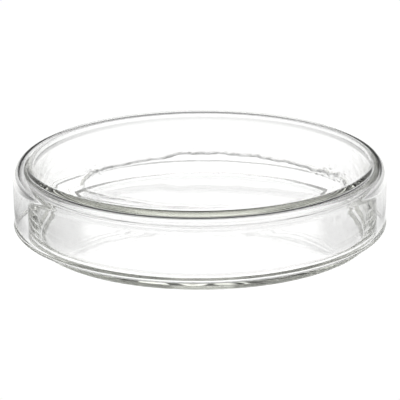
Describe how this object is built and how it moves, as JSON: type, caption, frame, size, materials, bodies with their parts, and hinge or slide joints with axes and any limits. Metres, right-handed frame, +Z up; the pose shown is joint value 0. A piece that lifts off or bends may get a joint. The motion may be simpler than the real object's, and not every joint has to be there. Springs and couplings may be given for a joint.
{
  "type": "covered glass dish",
  "caption": "Shallow straight-walled round clear glass dish with a loose flat glass cover that overlaps its rim and lifts straight off.",
  "frame": {"origin": "on the table, under the middle of the cover, which is the middle of the whole object's footprint", "axes": "+Z up along the cover's axis, the way the cover lifts; +X to the side the dish stands off the cover's axis"},
  "size_m": [0.1, 0.1, 0.021],
  "materials": {
    "dish_glass": "clear moulded glass, fire-polished rim, faint green-yellow cast on edge",
    "cover_glass": "clear moulded glass, polished, slightly uneven"
  },
  "bodies": {
    "dish": {"dish": "dish_glass"},
    "cover": {"cover": "cover_glass"}
  },
  "joints": [
    {"name": "cover_lift", "type": "slide", "parent": "dish", "child": "cover", "axis": [0, 0, 1], "range_m": [0, 0.04]}
  ]
}
